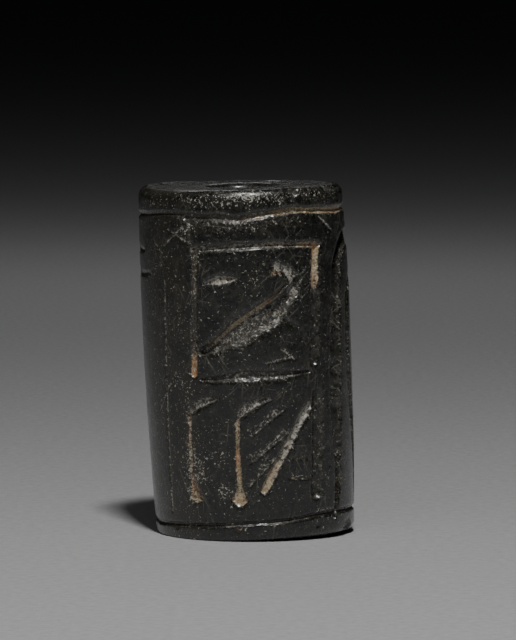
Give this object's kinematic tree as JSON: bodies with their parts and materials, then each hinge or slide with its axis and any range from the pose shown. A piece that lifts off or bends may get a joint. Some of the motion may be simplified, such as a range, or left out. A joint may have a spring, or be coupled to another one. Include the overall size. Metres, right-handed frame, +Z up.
{
  "type": "cylinder seal",
  "caption": "Small barrelled cylinder of dark stone, pierced end to end for a cord, its wall cut with rings, rules and signs for rolling across clay.",
  "frame": {"origin": "middle of the seal's box, on the surface that its worn lower end stands on", "axes": "+Z up, along the seal, whose own axis leans 2.4 degrees towards -X; -Y is the side with the panel; +X is to the right of it"},
  "size_m": [0.0122, 0.0116, 0.0196],
  "materials": {
    "stone": "near-black steatite, hand polished, with worn edges, fine scratches and tan earth in the cuts"
  },
  "bodies": {
    "root": {"seal_body": "stone"}
  },
  "joints": []
}
